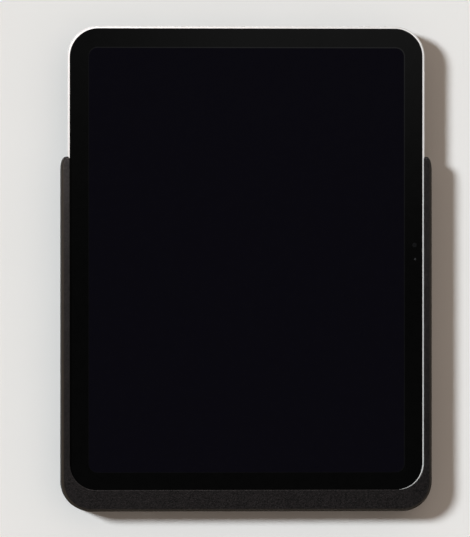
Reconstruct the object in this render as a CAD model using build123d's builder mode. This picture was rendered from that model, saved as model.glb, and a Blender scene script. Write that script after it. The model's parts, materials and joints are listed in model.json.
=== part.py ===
from build123d import *
import os

# A slim mount that holds a tablet upright on a wall, with the tablet in it.
# Millimetres. +Z is up, the wall is the plane y = 0, and the front faces -Y.
# The origin is the centre of the four wall screws, on the wall plane.
# Sketches on Plane.XZ look at the front, and offset(d) lies d mm in front of the wall.

# Tablet, outside
device_width = 214.9
device_height = 279.6
device_thickness = 6.1
device_corner = 18.0
device_back_edge = 0.9
device_front_edge = 0.3
device_side_shift = -0.35  # the tablet leans to one side of its play

# Tablet, glass and inside
glass_inset = 1.2
glass_gap = 0.05
glass_thickness = 0.7
frame_wall = 2.8
back_wall = 0.8
screen_border = 12.7
screen_corner = 5.0
panel_margin = 2.2
panel_thickness = 1.3
inner_gap = 0.5  # between the display panel and what lies behind it
battery_edge = 5.6
battery_end = 52.3
battery_gap = 7.0
board_width = 20.0
board_end = 34.3
board_thickness = 0.8
shield_gap = 0.4
shield_margin = 2.0
shield_end = 31.0
speaker_width = 42.0
speaker_height = 15.0
speaker_inset = 43.4
speaker_hole_radius = 0.7
speaker_hole_pitch = 3.2
speaker_hole_count = 7

# Tablet, buttons and cameras
button_width = 2.0
button_depth = 1.3
button_proud = 0.3
button_gap = 0.1
button_room = 0.15
button_travel = 0.25
volume_length = 11.2
volume_up_drop = 33.1
volume_pitch = 14.5
top_button_length = 14.0
top_button_inset = 30.0
front_camera_radius = 1.6
front_camera_inset = 5.1
front_camera_rise = 0.7
sensor_radius = 1.1
sensor_pitch = 8.4
rear_plate_size = 23.0
rear_plate_corner = 7.0
rear_plate_proud = 0.8
rear_plate_inset = 8.0
rear_lens_radius = 5.2
rear_lens_proud = 0.4
rear_flash_radius = 1.9
rear_lens_offset = 4.0
rear_flash_offset = -5.75

# Socket and plug of the charging connector
socket_width = 8.34
socket_height = 2.56
socket_wall = 0.3
socket_depth = 7.2
socket_gap = 0.08
tongue_width = 6.69
tongue_thickness = 0.6
tongue_length = 4.6
plug_side_fit = 0.045
plug_face_fit = 0.08
plug_end_gap = 1.0
plug_slot_gap = 0.1
plug_chamfer = 0.15
plug_mouth_gap = 0.6
plug_front_gap = 0.25

# Cradle
cradle_height = 213.0
cradle_corner = 18.0
side_wall = 3.1
side_liner = 0.45
side_play = 0.5
lip_thickness = 1.0
lip_overlap = 0.85
bottom_lip_overlap = 1.3
lip_corner = 16.0
front_play = 0.2
back_play = 0.2
floor_thickness = 2.1
rear_pocket_depth = 3.4
rear_rim = 9.0
rear_floor = 3.0
rear_corner = 9.0
bottom_wall = 2.4
bay_height = 6.0
seat_wall = 2.6
edge_radius = 1.4
lip_edge_radius = 0.4
arm_round_width = 3.1
arm_round_height = 7.5
arm_inner_round = 1.1
pick_margin = 0.01  # slack when edges are picked by their place
rib_width = 1.6
rib_pitch_x = 30.0
rib_pitch_z = 30.0
window_width = 64.0
window_height = 32.0
window_corner = 2.0

# Soft pads and liners
pad_thickness = 1.0
pad_width = 12.0
pad_length = 56.0
pad_margin = 15.0
pad_end = 23.35
bottom_pad_thickness = 0.6
bottom_pad_length = 32.0
bottom_pad_inset = 45.4
soft_width = 4.4
liner_rise = 28.0
liner_end = 24.7

# Wall plate, studs and screws
plate_width = 150.0
plate_headroom = 17.5
plate_gap = 0.4
plate_thickness = 2.0
plate_corner = 6.0
plate_window_gap = 2.0
wall_hole_radius = 2.3
wall_hole_side_margin = 25.0
wall_hole_top_margin = 20.0
wall_sink_radius = 4.2
stud_margin = 11.0
stud_top_margin = 46.0
stud_bottom_margin = 56.0
stud_radius = 2.0
stud_head_radius = 4.0
stud_head_thickness = 0.7
stud_head_chamfer = 0.25
stud_tenon_radius = 1.5
stud_gap = 0.1
keyhole_gap = 0.2
keyhole_head_gap = 0.6
keyhole_drop = 10.0
boss_width = 3.0
leg_width = 14.0
leg_margin = 8.0
leg_gap = 0.4
tab_reach = 9.0
screw_radius = 1.5
screw_gap = 0.2
screw_head_radius = 2.9
screw_head_height = 1.2
screw_head_chamfer = 0.3
hexagon_radius = 1.2
hexagon_depth = 0.7
screw_depth = 5.5
screw_recess = 1.5
screw_tip = 0.8
thread_gap = 0.02

# Connector bay, its housing, board and cover
bay_width = 36.0
housing_gap = 0.3
housing_wall = 1.6
housing_front = 0.8
circuit_thickness = 0.8
circuit_gap = 0.3
cover_flange = 10.0
cover_thickness = 1.2
cover_gap = 0.2
cover_rim = 1.0
cover_corner = 2.0
cover_screw_inset = 5.0
cover_screw_radius = 1.0
cover_screw_length = 6.0
cover_head_radius = 1.9
cover_head_height = 0.6
cover_head_gap = 0.1

# Levels, as distances from the wall
floor_back = rear_pocket_depth
floor_front = floor_back + floor_thickness
pad_front = floor_front + pad_thickness
device_back = pad_front + back_play
device_front = device_back + device_thickness
device_middle = (device_back + device_front) / 2
glass_back = device_front - glass_thickness
cavity_back = device_back + back_wall
lip_back = device_front + front_play
cradle_depth = lip_back + lip_thickness
stud_head_back = floor_front + stud_gap
inner_depth = glass_back - panel_thickness - inner_gap - cavity_back
front_camera_depth = panel_thickness + inner_gap
plug_width = socket_width - 2 * plug_side_fit
plug_height = socket_height - 2 * plug_face_fit
plug_reach = socket_depth - plug_end_gap
bay_front = device_middle + plug_height / 2 + plug_front_gap + housing_front

# Heights
cradle_top = cradle_height / 2
cradle_bottom = -cradle_height / 2
bay_bottom = cradle_bottom + bottom_wall
bay_top = bay_bottom + bay_height
bay_middle = (bay_bottom + bay_top) / 2
seat = bay_top + seat_wall
device_bottom = seat + bottom_pad_thickness
device_centre = device_bottom + device_height / 2
device_top = device_bottom + device_height
lip_bottom = device_bottom + bottom_lip_overlap
rear_bottom = seat + rear_floor
rear_top = cradle_top - rear_rim
window_top = rear_bottom + window_height
plate_bottom = rear_bottom + plate_gap
plate_top = rear_top - plate_headroom
tab_bottom = bay_middle - plate_thickness / 2
circuit_bottom = bay_bottom + housing_wall
circuit_top = circuit_bottom + circuit_thickness

# Distances from the middle
device_half = device_width / 2
pocket_half = device_half + side_play + side_liner
cradle_half = pocket_half + side_wall
lip_half = device_half - lip_overlap
pocket_corner = device_corner + side_play
rear_half = cradle_half - rear_rim
stud_x = plate_width / 2 - stud_margin
leg_x = plate_width / 2 - leg_margin - leg_width / 2
stud_heights = (plate_top - stud_top_margin, plate_bottom + stud_bottom_margin)
stud_places = [(x, z) for x in (-stud_x, stud_x) for z in stud_heights]
leg_places = [-leg_x, leg_x]
wall_hole_spacing_x = plate_width - 2 * wall_hole_side_margin
wall_hole_spacing_z = 2 * (plate_top - wall_hole_top_margin)

# Sizes that follow from the connector
socket_outer_width = socket_width + 2 * socket_wall
socket_outer_height = socket_height + 2 * socket_wall
cover_width = bay_width + 2 * cover_flange
inlet_middle = floor_front - socket_gap - socket_outer_height / 2
plug_place = (device_side_shift, -device_middle)

# The tablet's own planes: its back, its two ends and its button side
device_plane = Plane(origin=(device_side_shift, 0, device_centre), x_dir=(1, 0, 0), z_dir=(0, -1, 0))
top_plane = Plane(origin=(device_side_shift, -device_middle, device_top), z_dir=(0, 0, 1))
bottom_plane = Plane(
    origin=(device_side_shift, -device_middle, device_bottom), x_dir=(1, 0, 0), z_dir=(0, 0, -1)
)
button_plane = Plane(
    origin=(device_side_shift + device_half, -device_middle, device_centre),
    x_dir=(0, 0, 1),
    z_dir=(1, 0, 0),
)

os.makedirs("parts", exist_ok=True)


def upright(low, high, x_size, x_middle=0.0):
    """Rectangle in the current sketch from one height to another."""
    with Locations((x_middle, (low + high) / 2)):
        return Rectangle(x_size, high - low)


# Cradle: tray, arms and lips
with BuildPart() as cradle:
    with BuildSketch(Plane.XZ):
        with BuildLine():
            low = cradle_bottom + cradle_corner
            round_start = cradle_top - arm_round_height
            inner = cradle_half - cradle_corner
            shoulder = cradle_half - arm_round_width
            Line((-cradle_half, low), (-cradle_half, round_start))
            EllipticalCenterArc(
                (-shoulder, round_start), arm_round_width, arm_round_height, start_angle=180, arc_size=-90
            )
            Line((-shoulder, cradle_top), (shoulder, cradle_top))
            EllipticalCenterArc(
                (shoulder, round_start), arm_round_width, arm_round_height, start_angle=90, arc_size=-90
            )
            Line((cradle_half, round_start), (cradle_half, low))
            CenterArc((inner, low), cradle_corner, 0, -90)
            Line((inner, cradle_bottom), (-inner, cradle_bottom))
            CenterArc((-inner, low), cradle_corner, -90, -90)
        make_face()
    extrude(amount=cradle_depth)
    fillet(cradle.faces().sort_by(Axis.Y)[0].edges(), radius=edge_radius)

    # Pocket for the tablet, open at the top
    pocket_height = cradle_top - seat
    with BuildSketch(Plane.XZ.offset(floor_front)):
        with Locations((0, cradle_top)):
            RectangleRounded(2 * pocket_half, 2 * pocket_height, pocket_corner)
    extrude(amount=lip_back - floor_front, mode=Mode.SUBTRACT)

    # Opening between the lips, a little wider at its top
    opening_height = cradle_top - lip_bottom
    with BuildSketch(Plane.XZ.offset(lip_back)):
        with Locations((0, cradle_top)):
            RectangleRounded(2 * lip_half, 2 * opening_height, lip_corner)
        with BuildLine():
            Polyline(
                (-lip_half - arm_inner_round, cradle_top),
                (-lip_half, cradle_top - arm_inner_round),
                (lip_half, cradle_top - arm_inner_round),
                (lip_half + arm_inner_round, cradle_top),
                close=True,
            )
        make_face()
    extrude(amount=lip_thickness, mode=Mode.SUBTRACT)
    front_edges = cradle.faces().sort_by(Axis.Y)[0].edges()
    lip_edges = front_edges.filter_by(
        lambda edge: abs(edge.center().X) < lip_half + pick_margin
        and edge.center().Z > lip_bottom - pick_margin
    )
    fillet(lip_edges, radius=lip_edge_radius)

    # Pocket in the back for the wall plate, with ribs and bosses that meet the plate
    with BuildSketch(Plane.XZ):
        with Locations((0, (rear_bottom + rear_top) / 2)):
            RectangleRounded(2 * rear_half, rear_top - rear_bottom, rear_corner)
    extrude(amount=rear_pocket_depth, mode=Mode.SUBTRACT)
    rib_count_x = 2 * int((rear_half - rib_width) / rib_pitch_x) + 1
    rib_count_z = int((rear_top - rear_bottom - rib_pitch_z) / rib_pitch_z) + 1
    with BuildSketch(Plane.XZ.offset(plate_thickness)):
        with Locations((0, (rear_bottom + rear_top) / 2)):
            with GridLocations(rib_pitch_x, 1, rib_count_x, 1):
                Rectangle(rib_width, rear_top - rear_bottom)
            with GridLocations(1, rib_pitch_z, 1, rib_count_z):
                Rectangle(2 * rear_half, rib_width)
        with Locations(*stud_places):
            SlotCenterToCenter(
                keyhole_drop, 2 * (stud_head_radius + keyhole_head_gap + boss_width), rotation=90
            )
    extrude(amount=rear_pocket_depth - plate_thickness)

    # Keyholes: the studs rest in the narrow upper ends
    with BuildSketch(Plane.XZ.offset(plate_thickness)):
        with Locations(*[(x, z - keyhole_drop / 2) for x, z in stud_places]):
            SlotCenterToCenter(keyhole_drop, 2 * (stud_radius + keyhole_gap), rotation=90)
        with Locations(*[(x, z - keyhole_drop) for x, z in stud_places]):
            Circle(stud_head_radius + keyhole_head_gap)
    extrude(amount=floor_front - plate_thickness, mode=Mode.SUBTRACT)

    # Cable window through the floor, and the notch below it for the inlet socket
    with BuildSketch(Plane.XZ):
        with Locations((0, (rear_bottom + window_top) / 2)):
            RectangleRounded(window_width, window_height, window_corner)
    extrude(amount=floor_front, mode=Mode.SUBTRACT)
    with BuildSketch(Plane.XZ):
        upright(bay_top, rear_bottom + window_corner, socket_outer_width + 2 * plug_mouth_gap)
    extrude(amount=floor_front, mode=Mode.SUBTRACT)

    # Connector bay in the bottom rim, open at the back, with a recess for its cover
    with BuildSketch(Plane.XZ):
        upright(bay_bottom, bay_top, bay_width)
    extrude(amount=bay_front, mode=Mode.SUBTRACT)
    with BuildSketch(Plane.XZ):
        with Locations((0, bay_middle)):
            RectangleRounded(
                cover_width + 2 * cover_gap,
                bay_height + 2 * (cover_rim + cover_gap),
                cover_corner + cover_gap,
            )
    extrude(amount=cover_thickness, mode=Mode.SUBTRACT)
    cover_screw_x = cover_width / 2 - cover_screw_inset
    with BuildSketch(Plane.XZ):
        with Locations((-cover_screw_x, bay_middle), (cover_screw_x, bay_middle)):
            Circle(cover_screw_radius + thread_gap)
    extrude(amount=cover_thickness + cover_screw_length, mode=Mode.SUBTRACT)
    with BuildSketch(Plane.XY.offset(bay_top)):
        with Locations((0, -device_middle)):
            SlotOverall(plug_width + 2 * plug_mouth_gap, plug_height + 2 * plug_mouth_gap)
    extrude(amount=seat_wall, mode=Mode.SUBTRACT)

    # Slots and pockets for the wall plate's legs and tabs
    for x in leg_places:
        with BuildSketch(Plane.XZ):
            upright(bay_bottom, rear_bottom + rear_corner, leg_width + 2 * leg_gap, x)
        extrude(amount=plate_thickness + leg_gap, mode=Mode.SUBTRACT)
        with BuildSketch(Plane.XZ):
            upright(bay_bottom, bay_top, leg_width + 2 * leg_gap, x)
        extrude(amount=tab_reach + leg_gap, mode=Mode.SUBTRACT)

    # Holes for the locking screws, from below
    screw_places = [(x, -screw_depth) for x in leg_places]
    with BuildSketch(Plane.XY.offset(cradle_bottom)):
        with Locations(*screw_places):
            Circle(screw_radius + screw_gap)
    extrude(amount=bottom_wall, mode=Mode.SUBTRACT)
    with BuildSketch(Plane.XY.offset(cradle_bottom)):
        with Locations(*screw_places):
            Circle(screw_head_radius + screw_gap)
    extrude(amount=screw_recess, mode=Mode.SUBTRACT)
cradle.part.label = "cradle"
export_step(cradle.part, "parts/cradle.step")

# Wall plate: bent steel, with two legs that end in threaded tabs
with BuildPart() as wall_plate:
    with BuildSketch(Plane.XZ):
        with Locations((0, (plate_bottom + plate_top) / 2)):
            RectangleRounded(plate_width, plate_top - plate_bottom, plate_corner)
        for x in leg_places:
            upright(tab_bottom, plate_bottom + plate_corner, leg_width, x)
        upright(plate_bottom, window_top + plate_window_gap, window_width + 2 * plate_window_gap)
        notch_top = window_top + plate_window_gap
        with BuildSketch(Plane.XZ, mode=Mode.SUBTRACT):
            with Locations((0, notch_top - window_height)):
                RectangleRounded(window_width + 2 * plate_window_gap, 2 * window_height, window_corner)
    extrude(amount=plate_thickness)
    with BuildSketch(Plane.XY.offset(tab_bottom)):
        with Locations(*[(x, -tab_reach / 2) for x in leg_places]):
            Rectangle(leg_width, tab_reach)
    extrude(amount=plate_thickness)
    with BuildSketch(Plane.XY.offset(tab_bottom)):
        with Locations(*screw_places):
            Circle(screw_radius + thread_gap)
    extrude(amount=plate_thickness, mode=Mode.SUBTRACT)
    with BuildSketch(Plane.XZ):
        with Locations(*stud_places):
            Circle(stud_tenon_radius + thread_gap)
    extrude(amount=plate_thickness, mode=Mode.SUBTRACT)
    with Locations(Plane.XZ.offset(plate_thickness)):
        with GridLocations(wall_hole_spacing_x, wall_hole_spacing_z, 2, 2):
            CounterSinkHole(wall_hole_radius, wall_sink_radius, depth=plate_thickness, counter_sink_angle=90)
wall_plate.part.label = "wall_plate"
export_step(wall_plate.part, "parts/wall_plate.step")

# Hanging studs, riveted to the wall plate, with heads in front of the cradle's floor
for number, place in enumerate(stud_places, start=1):
    with BuildPart() as hanging_stud:
        for radius, back, front in (
            (stud_tenon_radius, 0.0, plate_thickness),
            (stud_radius, plate_thickness, stud_head_back),
            (stud_head_radius, stud_head_back, stud_head_back + stud_head_thickness),
        ):
            with BuildSketch(Plane.XZ.offset(back)):
                with Locations(place):
                    Circle(radius)
            extrude(amount=front - back)
        chamfer(hanging_stud.faces().sort_by(Axis.Y)[0].edges(), length=stud_head_chamfer)
    hanging_stud.part.label = f"hanging_stud_{number}"
    export_step(hanging_stud.part, f"parts/hanging_stud_{number}.step")

# Locking screws, from below into the tabs, with a hexagon recess
screw_seat = cradle_bottom + screw_recess
for number, place in enumerate(screw_places, start=1):
    with BuildPart() as locking_screw:
        with BuildSketch(Plane.XY.offset(screw_seat - screw_head_height)):
            with Locations(place):
                Circle(screw_head_radius)
        extrude(amount=screw_head_height)
        chamfer(locking_screw.edges().sort_by(Axis.Z)[0], length=screw_head_chamfer)
        with BuildSketch(Plane.XY.offset(screw_seat)):
            with Locations(place):
                Circle(screw_radius)
        extrude(amount=tab_bottom + plate_thickness + screw_tip - screw_seat)
        with BuildSketch(Plane.XY.offset(screw_seat - screw_head_height)):
            with Locations(place):
                RegularPolygon(hexagon_radius, 6)
        extrude(amount=hexagon_depth, mode=Mode.SUBTRACT)
    locking_screw.part.label = f"locking_screw_{number}"
    export_step(locking_screw.part, f"parts/locking_screw_{number}.step")

# Connector housing: a block in the bay, hollow from the back for its circuit board
housing_half = bay_width / 2 - housing_gap
circuit_half = housing_half - housing_wall
with BuildPart() as connector_housing:
    with BuildSketch(Plane.XZ.offset(cover_thickness)):
        upright(bay_bottom, bay_top, 2 * housing_half)
    extrude(amount=bay_front - cover_thickness)
    with BuildSketch(Plane.XZ.offset(cover_thickness)):
        upright(circuit_bottom, bay_top - housing_wall, 2 * circuit_half)
    extrude(amount=bay_front - cover_thickness - housing_front, mode=Mode.SUBTRACT)
    with BuildSketch(Plane.XY.offset(bay_top - housing_wall)):
        with Locations(plug_place):
            SlotOverall(plug_width + 2 * plug_slot_gap, plug_height + 2 * plug_slot_gap)
        with Locations((0, -inlet_middle)):
            SlotOverall(socket_outer_width + 2 * plug_slot_gap, socket_outer_height + 2 * plug_slot_gap)
    extrude(amount=housing_wall, mode=Mode.SUBTRACT)
connector_housing.part.label = "connector_housing"
export_step(connector_housing.part, "parts/connector_housing.step")

# Circuit board under the plug and the inlet socket
with BuildPart() as connector_board:
    with BuildSketch(Plane.XY.offset(circuit_bottom)):
        board_back = cover_thickness + circuit_gap
        board_front = bay_front - housing_front - circuit_gap
        with Locations((0, -(board_back + board_front) / 2)):
            Rectangle(2 * (circuit_half - circuit_gap), board_front - board_back)
    extrude(amount=circuit_thickness)
connector_board.part.label = "connector_board"
export_step(connector_board.part, "parts/connector_board.step")

# Plug: it stands on the board, rises through the seat and enters the tablet's socket
with BuildPart() as charging_plug:
    plug_top = device_bottom + plug_reach
    with BuildSketch(Plane.XY.offset(circuit_top)):
        with Locations(plug_place):
            SlotOverall(plug_width, plug_height)
    extrude(amount=plug_top - circuit_top)
    chamfer(charging_plug.faces().sort_by(Axis.Z)[-1].edges(), length=plug_chamfer)
    with BuildSketch(Plane.XY.offset(device_bottom)):
        with Locations(plug_place):
            Rectangle(tongue_width + 2 * plug_slot_gap, tongue_thickness + 2 * plug_slot_gap)
    extrude(amount=plug_reach, mode=Mode.SUBTRACT)
charging_plug.part.label = "charging_plug"
export_step(charging_plug.part, "parts/charging_plug.step")

# Inlet socket for the wall's own charging lead, open upwards into the cable window
with BuildPart() as inlet_socket:
    with BuildSketch(Plane.XY.offset(circuit_top)):
        with Locations((0, -inlet_middle)):
            SlotOverall(socket_outer_width, socket_outer_height)
    extrude(amount=rear_bottom - circuit_top)
    with BuildSketch(Plane.XY.offset(rear_bottom)):
        with Locations((0, -inlet_middle)):
            SlotOverall(socket_width, socket_height)
    extrude(amount=-socket_depth, mode=Mode.SUBTRACT)
    with BuildSketch(Plane.XY.offset(rear_bottom - socket_depth)):
        with Locations((0, -inlet_middle)):
            Rectangle(tongue_width, tongue_thickness)
    extrude(amount=tongue_length)
inlet_socket.part.label = "inlet_socket"
export_step(inlet_socket.part, "parts/inlet_socket.step")

# Cover at the back of the bay
with BuildPart() as connector_cover:
    with BuildSketch(Plane.XZ):
        with Locations((0, bay_middle)):
            RectangleRounded(cover_width, bay_height + 2 * cover_rim, cover_corner)
        with Locations((-cover_screw_x, bay_middle), (cover_screw_x, bay_middle)):
            Circle(cover_screw_radius + thread_gap, mode=Mode.SUBTRACT)
    extrude(amount=cover_thickness)
    with BuildSketch(Plane.XZ):
        with Locations((-cover_screw_x, bay_middle), (cover_screw_x, bay_middle)):
            Circle(cover_head_radius + cover_head_gap)
    extrude(amount=cover_head_height, mode=Mode.SUBTRACT)
connector_cover.part.label = "connector_cover"
export_step(connector_cover.part, "parts/connector_cover.step")

for number, x in enumerate((-cover_screw_x, cover_screw_x), start=1):
    with BuildPart() as cover_screw:
        with BuildSketch(Plane.XZ):
            with Locations((x, bay_middle)):
                Circle(cover_head_radius)
        extrude(amount=cover_head_height)
        with BuildSketch(Plane.XZ.offset(cover_head_height)):
            with Locations((x, bay_middle)):
                Circle(cover_screw_radius)
        extrude(amount=cover_thickness + cover_screw_length - cover_head_height - cover_head_gap)
    cover_screw.part.label = f"cover_screw_{number}"
    export_step(cover_screw.part, f"parts/cover_screw_{number}.step")

# Back pads on the cradle's floor
pad_x = device_half - pad_margin
pad_z = cradle_top - pad_end - pad_length / 2
pad_places = [(x, z) for x in (-pad_x, pad_x) for z in (pad_z, -pad_z)]
for number, place in enumerate(pad_places, start=1):
    with BuildPart() as back_pad:
        with BuildSketch(Plane.XZ.offset(floor_front)):
            with Locations(place):
                SlotOverall(pad_length, pad_width, rotation=90)
        extrude(amount=pad_thickness)
    back_pad.part.label = f"back_pad_{number}"
    export_step(back_pad.part, f"parts/back_pad_{number}.step")

# Liners on the arms' inner sides and pads on the seat
for name, side in (("left", -1), ("right", 1)):
    with BuildPart() as liner:
        with BuildSketch(Plane.XZ.offset(device_middle - soft_width / 2)):
            middle = side * (pocket_half - side_liner / 2)
            upright(seat + liner_rise, cradle_top - liner_end, side_liner, middle)
        extrude(amount=soft_width)
    liner.part.label = f"side_liner_{name}"
    export_step(liner.part, f"parts/side_liner_{name}.step")
    with BuildPart() as bottom_pad:
        with BuildSketch(Plane.XY.offset(seat)):
            with Locations((side * (device_half - bottom_pad_inset), -device_middle)):
                Rectangle(bottom_pad_length, soft_width)
        extrude(amount=bottom_pad_thickness)
    bottom_pad.part.label = f"bottom_pad_{name}"
    export_step(bottom_pad.part, f"parts/bottom_pad_{name}.step")

# Tablet housing: a thin metal shell, open at the front
volume_places = {
    "volume_up": device_height / 2 - volume_up_drop,
    "volume_down": device_height / 2 - volume_up_drop - volume_pitch,
}
top_button_x = device_half - top_button_inset
speaker_x = device_half - speaker_inset
button_pocket = button_depth - button_proud + button_travel + button_room
with BuildPart() as tablet_housing:
    with BuildSketch(device_plane.offset(device_back)):
        RectangleRounded(device_width, device_height, device_corner)
    extrude(amount=device_thickness)
    fillet(tablet_housing.faces().sort_by(Axis.Y)[-1].edges(), radius=device_back_edge)
    fillet(tablet_housing.faces().sort_by(Axis.Y)[0].edges(), radius=device_front_edge)
    recess = 2 * (glass_inset - glass_gap)
    with BuildSketch(device_plane.offset(glass_back)):
        RectangleRounded(device_width - recess, device_height - recess, device_corner - recess / 2)
    extrude(amount=glass_thickness, mode=Mode.SUBTRACT)
    with BuildSketch(device_plane.offset(cavity_back)):
        RectangleRounded(
            device_width - 2 * frame_wall, device_height - 2 * frame_wall, device_corner - frame_wall
        )
    extrude(amount=glass_back - cavity_back, mode=Mode.SUBTRACT)
    with BuildSketch(bottom_plane):
        SlotOverall(socket_outer_width + 2 * glass_gap, socket_outer_height + 2 * glass_gap)
    extrude(amount=-frame_wall, mode=Mode.SUBTRACT)
    for end_plane in (top_plane, bottom_plane):
        with BuildSketch(end_plane):
            with Locations((-speaker_x, 0), (speaker_x, 0)):
                with GridLocations(speaker_hole_pitch, 1, speaker_hole_count, 1):
                    Circle(speaker_hole_radius)
        extrude(amount=-frame_wall, mode=Mode.SUBTRACT)
    with BuildSketch(button_plane):
        with Locations(*[(z, 0) for z in volume_places.values()]):
            SlotOverall(volume_length + 2 * button_gap, button_width + 2 * button_gap)
    extrude(amount=-button_pocket, mode=Mode.SUBTRACT)
    with BuildSketch(top_plane):
        with Locations((top_button_x, 0)):
            SlotOverall(top_button_length + 2 * button_gap, button_width + 2 * button_gap)
    extrude(amount=-button_pocket, mode=Mode.SUBTRACT)
tablet_housing.part.label = "tablet_housing"
export_step(tablet_housing.part, "parts/tablet_housing.step")

# Cover glass and display panel
with BuildPart() as cover_glass:
    inset = 2 * glass_inset
    with BuildSketch(device_plane.offset(glass_back)):
        RectangleRounded(device_width - inset, device_height - inset, device_corner - glass_inset)
    extrude(amount=glass_thickness)
    fillet(cover_glass.faces().sort_by(Axis.Y)[0].edges(), radius=device_front_edge)
cover_glass.part.label = "cover_glass"
export_step(cover_glass.part, "parts/cover_glass.step")

with BuildPart() as display_panel:
    inset = 2 * (screen_border - panel_margin)
    with BuildSketch(device_plane.offset(glass_back - panel_thickness)):
        RectangleRounded(device_width - inset, device_height - inset, screen_corner + panel_margin)
    extrude(amount=panel_thickness)
display_panel.part.label = "display_panel"
export_step(display_panel.part, "parts/display_panel.step")

# Volume buttons and top button
for name, z in volume_places.items():
    with BuildPart() as volume_button:
        with BuildSketch(button_plane.offset(button_proud - button_depth)):
            with Locations((z, 0)):
                SlotOverall(volume_length, button_width)
        extrude(amount=button_depth)
        fillet(volume_button.faces().sort_by(Axis.X)[-1].edges(), radius=button_proud / 2)
    volume_button.part.label = f"{name}_button"
    export_step(volume_button.part, f"parts/{name}_button.step")

with BuildPart() as top_button:
    with BuildSketch(top_plane.offset(button_proud - button_depth)):
        with Locations((top_button_x, 0)):
            SlotOverall(top_button_length, button_width)
    extrude(amount=button_depth)
    fillet(top_button.faces().sort_by(Axis.Z)[-1].edges(), radius=button_proud / 2)
top_button.part.label = "top_button"
export_step(top_button.part, "parts/top_button.step")

# Front camera and light sensor, behind the glass on the tablet's long side
front_camera_x = device_half - front_camera_inset
for name, height, radius in (
    ("front_camera", front_camera_rise, front_camera_radius),
    ("light_sensor", front_camera_rise + sensor_pitch, sensor_radius),
):
    with BuildPart() as front_part:
        with BuildSketch(device_plane.offset(glass_back - front_camera_depth)):
            with Locations((front_camera_x, height)):
                Circle(radius)
        extrude(amount=front_camera_depth)
    front_part.part.label = name
    export_step(front_part.part, f"parts/{name}.step")

# Rear camera: plate, lens and flash on the back
rear_plate_x = device_half - rear_plate_inset - rear_plate_size / 2
rear_plate_z = device_height / 2 - rear_plate_inset - rear_plate_size / 2
rear_plate_back = device_back - rear_plate_proud
with BuildPart() as rear_camera_plate:
    with BuildSketch(device_plane.offset(rear_plate_back)):
        with Locations((rear_plate_x, rear_plate_z)):
            RectangleRounded(rear_plate_size, rear_plate_size, rear_plate_corner)
    extrude(amount=rear_plate_proud)
    fillet(rear_camera_plate.faces().sort_by(Axis.Y)[-1].edges(), radius=rear_plate_proud / 3)
rear_camera_plate.part.label = "rear_camera_plate"
export_step(rear_camera_plate.part, "parts/rear_camera_plate.step")

for name, offset, radius in (
    ("rear_camera_lens", rear_lens_offset, rear_lens_radius),
    ("rear_flash", rear_flash_offset, rear_flash_radius),
):
    with BuildPart() as rear_part:
        with BuildSketch(device_plane.offset(rear_plate_back - rear_lens_proud)):
            with Locations((rear_plate_x + offset, rear_plate_z + offset)):
                Circle(radius)
        extrude(amount=rear_lens_proud)
        fillet(rear_part.faces().sort_by(Axis.Y)[-1].edges(), radius=rear_lens_proud / 2)
    rear_part.part.label = name
    export_step(rear_part.part, f"parts/{name}.step")

# Inside the tablet: batteries, logic board with its shield, and speakers
battery_start = board_width / 2 + battery_gap
battery_width = device_half - frame_wall - battery_edge - battery_start
board_height = device_height - 2 * board_end
for name, side in (("left", -1), ("right", 1)):
    with BuildPart() as battery:
        with BuildSketch(device_plane.offset(cavity_back)):
            with Locations((side * (battery_start + battery_width / 2), 0)):
                Rectangle(battery_width, device_height - 2 * battery_end)
        extrude(amount=inner_depth)
        fillet(battery.edges().filter_by(Axis.Y), radius=inner_depth / 2)
    battery.part.label = f"battery_{name}"
    export_step(battery.part, f"parts/battery_{name}.step")

with BuildPart() as logic_board:
    with BuildSketch(device_plane.offset(cavity_back)):
        Rectangle(board_width, board_height)
    extrude(amount=board_thickness)
logic_board.part.label = "logic_board"
export_step(logic_board.part, "parts/logic_board.step")

with BuildPart() as board_shield:
    with BuildSketch(device_plane.offset(cavity_back + board_thickness)):
        Rectangle(board_width - 2 * shield_margin, board_height - 2 * shield_end)
    extrude(amount=inner_depth - board_thickness - shield_gap)
    fillet(board_shield.edges().filter_by(Axis.Y), radius=shield_margin / 2)
board_shield.part.label = "board_shield"
export_step(board_shield.part, "parts/board_shield.step")

speaker_z = device_height / 2 - frame_wall - speaker_height / 2
speaker_places = [(x, z) for x in (-speaker_x, speaker_x) for z in (speaker_z, -speaker_z)]
for number, place in enumerate(speaker_places, start=1):
    with BuildPart() as speaker:
        with BuildSketch(device_plane.offset(cavity_back)):
            with Locations(place):
                RectangleRounded(speaker_width, speaker_height, inner_depth / 2)
        extrude(amount=inner_depth)
    speaker.part.label = f"speaker_{number}"
    export_step(speaker.part, f"parts/speaker_{number}.step")

# Charging socket in the tablet's lower end, with its tongue
with BuildPart() as charging_socket:
    with BuildSketch(bottom_plane):
        SlotOverall(socket_outer_width, socket_outer_height)
    extrude(amount=-(socket_depth + socket_wall))
    with BuildSketch(bottom_plane):
        SlotOverall(socket_width, socket_height)
    extrude(amount=-socket_depth, mode=Mode.SUBTRACT)
    with BuildSketch(bottom_plane.offset(-socket_depth)):
        Rectangle(tongue_width, tongue_thickness)
    extrude(amount=tongue_length)
charging_socket.part.label = "charging_socket"
export_step(charging_socket.part, "parts/charging_socket.step")
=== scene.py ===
"""Looks of the wall mount and its tablet: materials, fine pieces, wall, light and camera.

Lengths are in metres. X runs to the right, Y into the wall and Z up. Colours are linear.
"""

import json
import math

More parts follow.
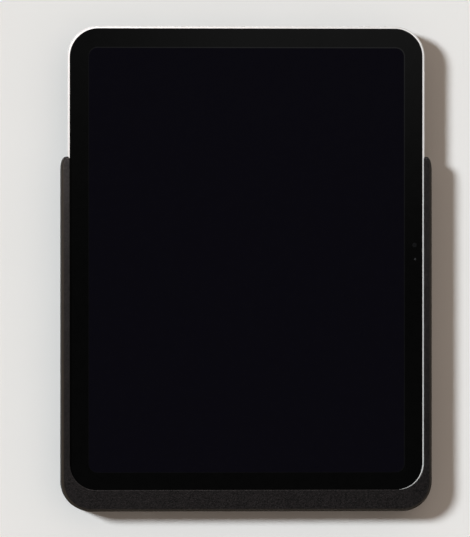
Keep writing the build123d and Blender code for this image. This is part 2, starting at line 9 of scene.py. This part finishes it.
import bmesh
import bpy
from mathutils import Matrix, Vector


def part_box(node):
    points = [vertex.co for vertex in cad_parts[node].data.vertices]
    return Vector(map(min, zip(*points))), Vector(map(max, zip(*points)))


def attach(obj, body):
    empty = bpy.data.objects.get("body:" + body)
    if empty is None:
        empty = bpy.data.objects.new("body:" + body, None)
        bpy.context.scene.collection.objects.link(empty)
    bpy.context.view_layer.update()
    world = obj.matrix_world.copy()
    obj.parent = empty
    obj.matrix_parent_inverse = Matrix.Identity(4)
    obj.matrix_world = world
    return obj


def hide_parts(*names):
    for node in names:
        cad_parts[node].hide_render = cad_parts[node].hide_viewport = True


MM = 0.001

# Photograph: its height, its scale and the point of the mount in its middle
PHOTO_HEIGHT = 537
PIXELS_PER_MM = 1.662
TARGET = Vector((-6.2 * MM, 0.0, 39.33 * MM))

# Camera, far off and a little to the left
CAMERA_DISTANCE = 6.0
CAMERA_AZIMUTH = math.radians(-4.3)
CAMERA_SENSOR = 36.0
CAMERA_REACH = 30.0

# Lamps: the key comes from the upper left, in front of the wall, and a small window
# gives the gloss. The back light comes from behind the wall, which throws no shadow.
KEY_DIRECTION = Vector((-1.23, -1.0, 0.505))
KEY_STRENGTH = 4.07
KEY_COLOUR = (0.905, 0.97, 1.0)
KEY_ANGLE = math.radians(12.0)
GLOSS_PLACE = Vector((-0.17, -0.45, 0.38))
GLOSS_SIZE = 0.24
GLOSS_POWER = 4.0
GLOSS_COLOUR = (1.0, 0.89, 0.87)
BACK_DIRECTION = Vector((0.5, 1.0, 0.6))
BACK_STRENGTH = 2.6
BACK_COLOUR = (1.0, 1.0, 1.0)
BACK_ANGLE = math.radians(30.0)

# Fill from all round: its colours, its strength at the sides and ahead, what comes to it
# from the right and from above, and the least that it has. The camera sees the pale colour.
FILL_COLOUR = (1.0, 0.845, 0.715)
FILL_GLOSS_COLOUR = (0.88, 0.86, 0.85)
FILL_SIDE = 0.50
FILL_BASE = 0.06
FILL_RIGHT = 0.24
FILL_UP = 0.16
FILL_LEAST = 0.02
PALE_COLOUR = (0.76, 0.75, 0.74)

# Card that the glass reflects, dim at its foot and brighter at its top right: where it
# brightens, upwards and to the right, and the share of that which its left side has
CARD_DISTANCE = 1.0
CARD_SIZE = 1.6
CARD_DIM = 0.026
CARD_BRIGHT = 0.14
CARD_RISE = (0.0, 0.2)
CARD_TURN = (-0.04, 0.075)
CARD_LEFT = 0.38

# Wall and floor
WALL_PLACE = (0.0, 0.4 * MM, 0.0)
WALL_SIZE = 6.0
WALL_PAINT = ((0.785, 0.767, 0.758), (0.797, 0.779, 0.770))
WALL_GRAIN = 90.0
WALL_ROUGHNESS = 0.9
FLOOR_PLACE = (0.0, 0.0, -1.4)
FLOOR_SIZE = 14.0
FLOOR_PAINT = (0.56, 0.56, 0.55)
FLOOR_ROUGHNESS = 0.8

# Noise: its roughness, the span that colour ramps take of it, and how many times broader
# the patches of roughness are than the grain of a plain material
NOISE_ROUGHNESS = 0.55
NOISE_SPAN = (0.3, 0.7)
PATCH_SPREAD = 18.0

# Powder coat: its round cells, its grain, its speckles and its patches in cycles per
# metre, the share of the cells in its relief, and how deep that is
COAT_CELLS = 1000.0
COAT_GRAIN = 1300.0
COAT_SPECKLES = 800.0
COAT_PATCHES = 60.0
COAT_CELL_SHARE = 0.5
COAT_DEPTH = 0.15 * MM
# Its colour and what the speckles add to its roughness, over their span, and its gloss:
# the roughness of its front, what comes to it on the sides, and where the sides begin
COAT_COLOUR = ((0.0008, 0.0007, 0.0008), (0.0116, 0.0096, 0.0100))
COAT_SPAN = (0.40, 0.62)
COAT_SPECKLE_ROUGHNESS = (0.03, -0.03)
COAT_SPECULAR = 0.40
COAT_ROUGHNESS = (0.36, 0.40)
COAT_SIDE_ROUGHNESS = 0.55
COAT_SIDES = (0.88, 0.995)

# Outer edge of the cradle, painted paler than the rest of the coat: a painted sheen that
# stands in for the wall's light reflected in its rounded edge. The numbers: the centre of its
# corners' arcs, how far from it the paler edge starts and is full, how far it has to face
# the front, and its colour
EDGE_CENTRE = (93.5 * MM, -88.5 * MM)
EDGE_REACH = (16.2 * MM, 17.2 * MM)
EDGE_FACING = (0.05, 0.25)
PAINTED_SHEEN_COLOUR = (0.0193, 0.0142, 0.0095)

# Screen: its distance from the tablet's edge at the left and below, and at the right and
# above, the width of the fine line round it on the same sides, and the line's depth
SCREEN_LOW = (12.75 * MM, 11.9 * MM)
SCREEN_HIGH = (12.4 * MM, 13.0 * MM)
SCREEN_CORNER = 5.0 * MM
LINE_LOW = 0.2 * MM
LINE_HIGH = 0.6 * MM
LINE_CORNER = SCREEN_CORNER + (LINE_LOW + LINE_HIGH) / 2
LINE_DEPTH = 0.1 * MM

# Glass: how far it lies inside the tablet's edge and in front of the housing, its rounded
# edge and the middle of that, the radii of its corners (top right, top left, bottom left
# and bottom right), and its haze in cycles per metre
GLASS_INSET = 1.2 * MM
GLASS_RISE = 0.02 * MM
GLASS_EDGE = 0.25 * MM
GLASS_EDGE_MIDDLE = GLASS_EDGE * 0.3
GLASS_CORNERS = (16.8 * MM, 17.3 * MM, 15.1 * MM, 15.6 * MM)
GLASS_HAZE = 220.0

# Pale rim line between the glass and the housing's round edge, a painted highlight that
# stands in for light caught on the housing's front edge: the radius of the housing's
# corners, the line's distance from the tablet's edge, how far it stands in front of the
# housing, and how deep it reaches into it
HOUSING_CORNER = 18.0 * MM
RIM_INSET = 0.48 * MM
RIM_RISE = GLASS_RISE / 2
RIM_DEPTH = GLASS_RISE

# The two dots in the glass: their radii, how far they lie from the middle of their CAD
# parts, how far they stand out of the glass, and the share of the radius that is flat. The
# camera's dot is a painted glint: a pale disc that stands in for light caught in its lens.
LENS_GLINT_RADIUS = 0.62 * MM
LENS_GLINT_SHIFT = (-0.58 * MM, -0.64 * MM)
SENSOR_RADIUS = 1.35 * MM
SENSOR_SHIFT = (-0.96 * MM, -0.60 * MM)
DOT_RISE = 0.02 * MM
DOT_FLAT = 0.6

# Steps in a round corner and in a whole circle, and the least distance of two vertices
CORNER_STEPS = 16
CIRCLE_STEPS = 48
LEAST_DISTANCE = 0.001 * MM

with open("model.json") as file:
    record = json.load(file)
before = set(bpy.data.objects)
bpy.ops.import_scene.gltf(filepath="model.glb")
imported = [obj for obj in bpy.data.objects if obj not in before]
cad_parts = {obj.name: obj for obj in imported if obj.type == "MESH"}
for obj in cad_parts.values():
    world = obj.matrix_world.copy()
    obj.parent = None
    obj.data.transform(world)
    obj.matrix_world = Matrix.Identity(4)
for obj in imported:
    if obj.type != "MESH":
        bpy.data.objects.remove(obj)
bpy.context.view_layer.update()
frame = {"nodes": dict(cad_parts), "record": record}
nodes = frame["nodes"]


# Meshes


def rounded_outline(low, high, radii, inset=0.0):
    """Points (x, z) round a rectangle with round corners, moved inwards by inset.

    The radii are one number, or four from the top right corner round by the top left.
    """
    points = []
    corners = ((1, 1, 0), (-1, 1, 90), (-1, -1, 180), (1, -1, 270))
    radii = radii if isinstance(radii, tuple) else (radii,) * 4
    for (side_x, side_z, start), corner in zip(corners, radii):
        radius = corner - inset
        x = (high[0] - inset - radius) if side_x > 0 else (low[0] + inset + radius)
        z = (high[1] - inset - radius) if side_z > 0 else (low[1] + inset + radius)
        for step in range(CORNER_STEPS + 1):
            angle = math.radians(start + 90.0 * step / CORNER_STEPS)
            points.append((x + radius * math.cos(angle), z + radius * math.sin(angle)))
    return points


def circle(centre, radius):
    """Points (x, z) of a circle."""
    turn = 2 * math.pi / CIRCLE_STEPS
    return [
        (centre[0] + radius * math.cos(turn * i), centre[1] + radius * math.sin(turn * i))
        for i in range(CIRCLE_STEPS)
    ]


def mesh_from_rings(name, rings, closed):
    """Mesh through rings of (points, y), each joined to the next by quads.

    Closed says that the first and the last ring are filled. Else the last one is the
    first again, and both become one.
    """
    bm = bmesh.new()
    loops = [[bm.verts.new((x, y, z)) for x, z in points] for points, y in rings]
    count = len(loops[0])
    for first, second in zip(loops, loops[1:]):
        for i in range(count):
            j = (i + 1) % count
            bm.faces.new((first[i], first[j], second[j], second[i]))
    if closed:
        bm.faces.new(loops[0])
        bm.faces.new(list(reversed(loops[-1])))
    bmesh.ops.remove_doubles(bm, verts=bm.verts, dist=LEAST_DISTANCE)
    bmesh.ops.recalc_face_normals(bm, faces=bm.faces)
    mesh = bpy.data.meshes.new(name)
    bm.to_mesh(mesh)
    bm.free()
    return mesh


def add_piece(name, rings, body, material, closed=False):
    """Makes a piece through rings, which rides on a body and has a material slot."""
    piece = bpy.data.objects.new(name, mesh_from_rings(name, rings, closed))
    bpy.context.scene.collection.objects.link(piece)
    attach(piece, body)
    piece.data.materials.append(material)
    return piece


# Nodes of materials and world


def new_material(name):
    """Material with one Principled shader; returns it with its node tree and the shader."""
    material = bpy.data.materials.new(name)
    material.use_nodes = True
    tree = material.node_tree
    tree.nodes.clear()
    shader = tree.nodes.new("ShaderNodeBsdfPrincipled")
    output = tree.nodes.new("ShaderNodeOutputMaterial")
    tree.links.new(shader.outputs["BSDF"], output.inputs["Surface"])
    return material, tree, shader


def object_noise(tree, scale, detail):
    """Noise in the object's own coordinates; scale is in cycles per metre."""
    place = tree.nodes.new("ShaderNodeTexCoord")
    noise = tree.nodes.new("ShaderNodeTexNoise")
    noise.inputs["Scale"].default_value = scale
    noise.inputs["Detail"].default_value = detail
    noise.inputs["Roughness"].default_value = NOISE_ROUGHNESS
    tree.links.new(place.outputs["Object"], noise.inputs["Vector"])
    return noise.outputs["Fac"]


def ramp(tree, value, low, high, span=NOISE_SPAN):
    """Colour ramp from low to high, as colours or as single numbers."""
    node = tree.nodes.new("ShaderNodeValToRGB")
    for element, position, colour in zip(node.color_ramp.elements, span, (low, high)):
        element.position = position
        rgb = colour if isinstance(colour, tuple) else (colour,) * 3
        element.color = (*rgb, 1.0)
    tree.links.new(value, node.inputs["Fac"])
    return node.outputs["Color"]


def math_node(tree, operation, *values):
    """Math node with numbers or links for its inputs; returns its output."""
    node = tree.nodes.new("ShaderNodeMath")
    node.operation = operation
    for socket, value in zip(node.inputs, values):
        if isinstance(value, float):
            socket.default_value = value
        else:
            tree.links.new(value, socket)
    return node.outputs["Value"]


def map_range(tree, value, start, end, low=0.0, high=1.0):
    """Value from start to end, mapped to low to high and held there outside."""
    node = tree.nodes.new("ShaderNodeMapRange")
    node.inputs["From Min"].default_value = start
    node.inputs["From Max"].default_value = end
    node.inputs["To Min"].default_value = low
    node.inputs["To Max"].default_value = high
    tree.links.new(value, node.inputs["Value"])
    return node.outputs["Result"]


def mix_colour(tree, factor, first, second):
    """Colour from first, a link or a colour, to the colour second."""
    node = tree.nodes.new("ShaderNodeMix")
    node.data_type = "RGBA"
    tree.links.new(factor, node.inputs["Factor"])
    if isinstance(first, tuple):
        node.inputs["A"].default_value = (*first, 1.0)
    else:
        tree.links.new(first, node.inputs["A"])
    node.inputs["B"].default_value = (*second, 1.0)
    return node.outputs["Result"]


def mix_shader(tree, factor, first, second):
    """Shader that goes from the first node's to the second node's."""
    node = tree.nodes.new("ShaderNodeMixShader")
    tree.links.new(factor, node.inputs["Fac"])
    tree.links.new(first.outputs[0], node.inputs[1])
    tree.links.new(second.outputs[0], node.inputs[2])
    return node.outputs["Shader"]


def bump(tree, shader, height, distance):
    """Relief of the shader's surface, of a depth in metres."""
    node = tree.nodes.new("ShaderNodeBump")
    node.inputs["Distance"].default_value = distance
    tree.links.new(height, node.inputs["Height"])
    tree.links.new(node.outputs["Normal"], shader.inputs["Normal"])


# Materials


def plain_material(
    name, dark, light, roughness=(0.4, 0.5), metallic=0.0, grain=900.0, depth=0.02 * MM
):
    """Material with a fine colour variation, patches of roughness and a grain in relief."""
    material, tree, shader = new_material(name)
    fine = object_noise(tree, grain, detail=3.0)
    patches = object_noise(tree, grain / PATCH_SPREAD, detail=2.0)
    tree.links.new(ramp(tree, fine, dark, light), shader.inputs["Base Color"])
    tree.links.new(ramp(tree, patches, *roughness), shader.inputs["Roughness"])
    shader.inputs["Metallic"].default_value = metallic
    bump(tree, shader, fine, depth)
    return material


def painted_sheen_mask(tree, place, facing):
    """Mask of the painted sheen: 1 along the cradle's outer edge, 0 on its side walls and near
    the glass.
    """
    parts = tree.nodes.new("ShaderNodeSeparateXYZ")
    tree.links.new(place.outputs["Object"], parts.inputs["Vector"])
    width = math_node(tree, "ABSOLUTE", parts.outputs["X"])
    beyond = math_node(tree, "SUBTRACT", width, EDGE_CENTRE[0])
    under = math_node(tree, "SUBTRACT", EDGE_CENTRE[1], parts.outputs["Z"])
    aside = math_node(tree, "MAXIMUM", beyond, 0.0)
    below = math_node(tree, "MAXIMUM", under, 0.0)
    square = math_node(tree, "MULTIPLY", aside, aside)
    total = math_node(tree, "MULTIPLY_ADD", below, below, square)
    reach = map_range(tree, math_node(tree, "SQRT", total), *EDGE_REACH)
    return math_node(tree, "MULTIPLY", reach, map_range(tree, facing, *EDGE_FACING))


def powder_coat():
    """Black powder coat: fine round grain, a broad soft shine and a painted sheen that makes
    the outer edges paler.
    """
    material, tree, shader = new_material("powder_coat")
    place = tree.nodes.new("ShaderNodeTexCoord")
    turned = tree.nodes.new("ShaderNodeSeparateXYZ")
    tree.links.new(place.outputs["Normal"], turned.inputs["Vector"])
    facing = math_node(tree, "ABSOLUTE", turned.outputs["Y"])

    speckles = object_noise(tree, COAT_SPECKLES, detail=3.0)
    colour = ramp(tree, speckles, *COAT_COLOUR, COAT_SPAN)
    # Painted sheen: the outer edge's colour is made paler, standing in for reflected wall light
    painted_sheen = mix_colour(tree, painted_sheen_mask(tree, place, facing), colour, PAINTED_SHEEN_COLOUR)
    tree.links.new(painted_sheen, shader.inputs["Base Color"])

    patches = ramp(tree, object_noise(tree, COAT_PATCHES, detail=2.0), *COAT_ROUGHNESS)
    sides = map_range(tree, facing, *COAT_SIDES, COAT_SIDE_ROUGHNESS, 0.0)
    rough = math_node(tree, "ADD", patches, sides)
    varied = map_range(tree, speckles, *COAT_SPAN, *COAT_SPECKLE_ROUGHNESS)
    tree.links.new(math_node(tree, "ADD", rough, varied), shader.inputs["Roughness"])
    shader.inputs["Specular IOR Level"].default_value = COAT_SPECULAR

    cells = tree.nodes.new("ShaderNodeTexVoronoi")
    cells.feature = "SMOOTH_F1"
    cells.inputs["Scale"].default_value = COAT_CELLS
    tree.links.new(place.outputs["Object"], cells.inputs["Vector"])
    fine = object_noise(tree, COAT_GRAIN, detail=2.0)
    height = math_node(tree, "MULTIPLY_ADD", cells.outputs["Distance"], COAT_CELL_SHARE, fine)
    bump(tree, shader, height, COAT_DEPTH)
    return material


def glass_black(name, dark, light, roughness, specular, slant=None):
    """Glossy black glass: a nearly even colour with a faint haze in its roughness.

    With slant, a clear coat comes in between those two values of Layer Weight's Facing.
    """
    material, tree, shader = new_material(name)
    haze = object_noise(tree, GLASS_HAZE, detail=2.0)
    tree.links.new(ramp(tree, haze, dark, light), shader.inputs["Base Color"])
    tree.links.new(ramp(tree, haze, *roughness), shader.inputs["Roughness"])
    shader.inputs["Specular IOR Level"].default_value = specular
    if slant:
        layer = tree.nodes.new("ShaderNodeLayerWeight")
        coat = map_range(tree, layer.outputs["Facing"], *slant)
        tree.links.new(coat, shader.inputs["Coat Weight"])
        shader.inputs["Coat Roughness"].default_value = roughness[0]
    return material


materials = {
    "textured_black": powder_coat(),
    "plated_steel": plain_material(
        "plated_steel",
        dark=(0.50, 0.51, 0.53),
        light=(0.58, 0.59, 0.60),
        roughness=(0.35, 0.40),
        metallic=1.0,
        grain=400.0,
        depth=0.01 * MM,
    ),
    "steel": plain_material(
        "steel",
        dark=(0.42, 0.42, 0.43),
        light=(0.52, 0.52, 0.53),
        roughness=(0.25, 0.38),
        metallic=1.0,
    ),
    "black_plastic": plain_material(
        "black_plastic", dark=(0.018, 0.018, 0.019), light=(0.026, 0.026, 0.027)
    ),
    "plug_metal": plain_material(
        "plug_metal",
        dark=(0.52, 0.52, 0.53),
        light=(0.60, 0.60, 0.61),
        roughness=(0.22, 0.34),
        metallic=1.0,
        grain=700.0,
        depth=0.005 * MM,
    ),
    "circuit_board": plain_material(
        "circuit_board", dark=(0.010, 0.060, 0.032), light=(0.014, 0.085, 0.045)
    ),
    "grey_silicone": plain_material(
        "grey_silicone",
        dark=(0.050, 0.050, 0.053),
        light=(0.066, 0.066, 0.070),
        roughness=(0.62, 0.74),
        grain=1400.0,
    ),
    "silver_aluminium": plain_material(
        "silver_aluminium",
        dark=(0.60, 0.60, 0.595),
        light=(0.65, 0.65, 0.645),
        roughness=(0.60, 0.68),
        metallic=0.35,
        grain=2400.0,
        depth=0.006 * MM,
    ),
    "cover_glass": glass_black(
        "bezel_glass", dark=0.0009, light=0.0013, roughness=(0.02, 0.05), specular=0.5
    ),
    "display": glass_black(
        "screen",
        dark=(0.0029, 0.0026, 0.0044),
        light=(0.0031, 0.0028, 0.0047),
        roughness=(0.05, 0.08),
        specular=0.02,
        slant=(0.03, 0.4),
    ),
    "camera_black": glass_black(
        "camera_black", dark=0.004, light=0.008, roughness=(0.04, 0.08), specular=0.5
    ),
    "flash_white": plain_material(
        "flash_white",
        dark=(0.72, 0.70, 0.60),
        light=(0.80, 0.78, 0.70),
        roughness=(0.2, 0.3),
    ),
    "battery_wrap": plain_material(
        "battery_wrap", dark=(0.030, 0.030, 0.032), light=(0.045, 0.045, 0.048)
    ),
    "shield_metal": plain_material(
        "shield_metal",
        dark=(0.55, 0.55, 0.56),
        light=(0.64, 0.64, 0.65),
        roughness=(0.3, 0.42),
        metallic=1.0,
    ),
    "speaker_black": plain_material(
        "speaker_black", dark=(0.020, 0.020, 0.021), light=(0.030, 0.030, 0.031)
    ),
}

# The aluminium is kept from diffuse rays, because it threw a bright patch on the wall
for entry in frame["record"]["subparts"]:
    node = nodes[entry["node"]]
    node.data.materials.clear()
    node.data.materials.append(materials[entry["material_slot"]])
    node.visible_diffuse = entry["material_slot"] != "silver_aluminium"


# Front glass: a black border round a screen that is switched off


def front_glass():
    """Border, rim line with its painted highlight, fine line and screen; the screen replaces
    the CAD cover glass.
    """
    low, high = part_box("cover_glass")
    front, back = low.y - GLASS_RISE, high.y
    glass = ((low.x, low.z), (high.x, high.z))
    outer = rounded_outline(*glass, GLASS_CORNERS)
    screen_low = (low.x - GLASS_INSET + SCREEN_LOW[0], low.z - GLASS_INSET + SCREEN_LOW[1])
    screen_high = (high.x + GLASS_INSET - SCREEN_HIGH[0], high.z + GLASS_INSET - SCREEN_HIGH[1])
    screen = rounded_outline(screen_low, screen_high, SCREEN_CORNER)
    line_low = (screen_low[0] - LINE_LOW, screen_low[1] - LINE_LOW)
    line_high = (screen_high[0] + LINE_HIGH, screen_high[1] + LINE_HIGH)
    line = rounded_outline(line_low, line_high, LINE_CORNER)

    rings = [
        (outer, back),
        (outer, front + GLASS_EDGE),
        (rounded_outline(*glass, GLASS_CORNERS, GLASS_EDGE_MIDDLE), front + GLASS_EDGE_MIDDLE),
        (rounded_outline(*glass, GLASS_CORNERS, GLASS_EDGE), front),
        (line, front),
        (line, back),
        (outer, back),
    ]
    add_piece("glass_border", rings, "tablet", materials["cover_glass"])

    housing_low, housing_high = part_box("tablet_housing")
    housing = ((housing_low.x, housing_low.z), (housing_high.x, housing_high.z))
    rim_outer = rounded_outline(*housing, HOUSING_CORNER, RIM_INSET)
    rings = [
        (outer, low.y + RIM_DEPTH),
        (outer, low.y - RIM_RISE),
        (rim_outer, low.y - RIM_RISE),
        (rim_outer, low.y + RIM_DEPTH),
        (outer, low.y + RIM_DEPTH),
    ]
    # A paler copy of the aluminium: painted highlight of light caught on the housing's front
    # edge
    rim_painted_highlight = plain_material(
        "rim_painted_highlight",
        dark=(0.78, 0.78, 0.775),
        light=(0.83, 0.83, 0.825),
        roughness=(0.46, 0.54),
        metallic=0.35,
    )
    rim = add_piece("glass_rim", rings, "tablet", rim_painted_highlight)
    rim.visible_diffuse = False

    rings = [
        (line, front),
        (screen, front),
        (screen, front + LINE_DEPTH),
        (line, front + LINE_DEPTH),
        (line, front),
    ]
    screen_edge = glass_black(
        "screen_edge",
        dark=(0.0028, 0.0028, 0.0032),
        light=(0.0034, 0.0034, 0.0038),
        roughness=(0.02, 0.05),
        specular=1.0,
    )
    add_piece("screen_edge", rings, "tablet", screen_edge)

    rings = [(screen, front), (screen, back)]
    pane = add_piece("screen", rings, "tablet", materials["display"], closed=True)
    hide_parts("cover_glass")


def glass_dot(name, node, radius, shift, material):
    """Shallow dome in the glass, in front of a camera or sensor."""
    low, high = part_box(node)
    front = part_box("cover_glass")[0].y - GLASS_RISE
    centre = ((low.x + high.x) / 2 + shift[0], (low.z + high.z) / 2 + shift[1])
    rings = [
        (circle(centre, radius), front + DOT_RISE),
        (circle(centre, radius), front - DOT_RISE / 2),
        (circle(centre, radius * DOT_FLAT), front - DOT_RISE),
    ]
    add_piece(name, rings, "tablet", material, closed=True)


front_glass()
# Painted glint: a pale disc off the middle of the front camera
glass_dot(
    "camera_lens_painted_glint",
    "front_camera",
    LENS_GLINT_RADIUS,
    LENS_GLINT_SHIFT,
    glass_black(
        "lens_painted_glint",
        dark=(0.022, 0.022, 0.024),
        light=(0.030, 0.030, 0.032),
        roughness=(0.05, 0.10),
        specular=0.5,
    ),
)
glass_dot(
    "sensor_window",
    "light_sensor",
    SENSOR_RADIUS,
    SENSOR_SHIFT,
    glass_black(
        "sensor_dot",
        dark=(0.0052, 0.0054, 0.0058),
        light=(0.0066, 0.0068, 0.0072),
        roughness=(0.05, 0.10),
        specular=0.5,
    ),
)


# Wall, floor and card


def plane(name, centre, size, material, upright=True):
    """Square of the stage, level or upright, made with sides of 1 and scaled to size."""
    mesh = bpy.data.meshes.new(name)
    bm = bmesh.new()
    bmesh.ops.create_grid(bm, x_segments=1, y_segments=1, size=0.5)
    bm.to_mesh(mesh)
    bm.free()
    mesh.materials.append(material)
    piece = bpy.data.objects.new(name, mesh)
    piece.location = centre
    piece.rotation_euler = (math.radians(90.0) if upright else 0.0, 0.0, 0.0)
    piece.scale = (size, size, 1.0)
    bpy.context.scene.collection.objects.link(piece)
    return piece


def wall_material():
    """Pale painted wall, seen through from behind."""
    material, tree, shader = new_material("wall_paint")
    grain = object_noise(tree, WALL_GRAIN, detail=4.0)
    tree.links.new(ramp(tree, grain, *WALL_PAINT), shader.inputs["Base Color"])
    shader.inputs["Roughness"].default_value = WALL_ROUGHNESS
    shader.inputs["Specular IOR Level"].default_value = 0.0
    side = tree.nodes.new("ShaderNodeNewGeometry")
    clear = tree.nodes.new("ShaderNodeBsdfTransparent")
    surface = mix_shader(tree, side.outputs["Backfacing"], shader, clear)
    tree.links.new(surface, tree.nodes["Material Output"].inputs["Surface"])
    return material


def floor_material():
    """Even grey paint."""
    material, _, shader = new_material("floor_paint")
    shader.inputs["Base Color"].default_value = (*FLOOR_PAINT, 1.0)
    shader.inputs["Roughness"].default_value = FLOOR_ROUGHNESS
    return material


def card_material():
    """Glow of the card, from its dim foot and left side to its bright top right."""
    material = bpy.data.materials.new("card_light")
    material.use_nodes = True
    tree = material.node_tree
    tree.nodes.clear()
    place = tree.nodes.new("ShaderNodeTexCoord")
    parts = tree.nodes.new("ShaderNodeSeparateXYZ")
    tree.links.new(place.outputs["Object"], parts.inputs["Vector"])
    rise_span = (value / CARD_SIZE for value in CARD_RISE)
    turn_span = (value / CARD_SIZE for value in CARD_TURN)
    rise = map_range(tree, parts.outputs["Y"], *rise_span)
    turn = map_range(tree, parts.outputs["X"], *turn_span, CARD_LEFT, 1.0)
    glow = math_node(tree, "MULTIPLY", math_node(tree, "MULTIPLY", rise, rise), turn)
    strength = math_node(tree, "MULTIPLY_ADD", glow, CARD_BRIGHT, CARD_DIM)
    light = tree.nodes.new("ShaderNodeEmission")
    tree.links.new(strength, light.inputs["Strength"])
    output = tree.nodes.new("ShaderNodeOutputMaterial")
    tree.links.new(light.outputs["Emission"], output.inputs["Surface"])
    return material


wall = plane("wall", WALL_PLACE, WALL_SIZE, wall_material())
wall.visible_shadow = False
floor = plane("floor", FLOOR_PLACE, FLOOR_SIZE, floor_material(), upright=False)
floor.visible_diffuse = False

# Only glossy rays see the card, which stands in front of the object
card = plane("card", (0.0, -CARD_DISTANCE, 0.0), CARD_SIZE, card_material())
for ray in ("camera", "diffuse", "transmission", "volume_scatter", "shadow"):
    setattr(card, f"visible_{ray}", False)


# Light


def world_light():
    """Soft fill: brighter to the right and above, dim straight ahead; pale to the camera."""
    world = bpy.data.worlds.new("studio")
    bpy.context.scene.world = world
    world.use_nodes = True
    tree = world.node_tree
    tree.nodes.clear()
    path = tree.nodes.new("ShaderNodeLightPath")
    place = tree.nodes.new("ShaderNodeTexCoord")
    parts = tree.nodes.new("ShaderNodeSeparateXYZ")
    tree.links.new(place.outputs["Generated"], parts.inputs["Vector"])
    ahead = math_node(tree, "MULTIPLY", parts.outputs["Y"], parts.outputs["Y"])
    side = math_node(tree, "MULTIPLY_ADD", ahead, -FILL_SIDE, FILL_SIDE + FILL_BASE)
    right = math_node(tree, "MULTIPLY_ADD", parts.outputs["X"], FILL_RIGHT, side)
    total = math_node(tree, "MULTIPLY_ADD", parts.outputs["Z"], FILL_UP, right)
    strength = math_node(tree, "MAXIMUM", total, FILL_LEAST)
    tint = mix_colour(tree, path.outputs["Is Glossy Ray"], FILL_COLOUR, FILL_GLOSS_COLOUR)

    light = tree.nodes.new("ShaderNodeBackground")
    tree.links.new(tint, light.inputs["Color"])
    tree.links.new(strength, light.inputs["Strength"])
    pale = tree.nodes.new("ShaderNodeBackground")
    pale.inputs["Color"].default_value = (*PALE_COLOUR, 1.0)
    output = tree.nodes.new("ShaderNodeOutputWorld")
    surface = mix_shader(tree, path.outputs["Is Camera Ray"], light, pale)
    tree.links.new(surface, output.inputs["Surface"])


def add_lamp(name, kind, towards, strength, colour):
    """Lamp that shines from the direction towards; returns its object and its data."""
    lamp = bpy.data.lights.new(name, kind)
    lamp.energy = strength
    lamp.color = colour
    holder = bpy.data.objects.new(name, lamp)
    holder.rotation_mode = "QUATERNION"
    holder.rotation_quaternion = towards.to_track_quat("Z", "Y")
    bpy.context.scene.collection.objects.link(holder)
    return holder, lamp


world_light()

key, key_lamp = add_lamp("key", "SUN", KEY_DIRECTION, KEY_STRENGTH, KEY_COLOUR)
key_lamp.angle = KEY_ANGLE
key.visible_glossy = False

window, window_lamp = add_lamp("window_light", "AREA", GLOSS_PLACE, GLOSS_POWER, GLOSS_COLOUR)
window_lamp.size = GLOSS_SIZE
window.location = GLOSS_PLACE
window.visible_diffuse = False
window.visible_camera = False

_, back_lamp = add_lamp("back_light", "SUN", BACK_DIRECTION, BACK_STRENGTH, BACK_COLOUR)
back_lamp.angle = BACK_ANGLE


# Camera

camera_data = bpy.data.cameras.new("camera")
camera = bpy.data.objects.new("camera", camera_data)
bpy.context.scene.collection.objects.link(camera)
bpy.context.scene.camera = camera
towards_camera = Vector((math.sin(CAMERA_AZIMUTH), -math.cos(CAMERA_AZIMUTH), 0.0))
camera.location = TARGET + towards_camera * CAMERA_DISTANCE
camera.rotation_mode = "QUATERNION"
camera.rotation_quaternion = towards_camera.to_track_quat("Z", "Y")
camera_data.sensor_width = CAMERA_SENSOR
camera_data.lens = CAMERA_SENSOR * CAMERA_DISTANCE / (PHOTO_HEIGHT / PIXELS_PER_MM * MM)
camera_data.clip_end = CAMERA_REACH

bpy.context.scene.view_settings.view_transform = "Standard"
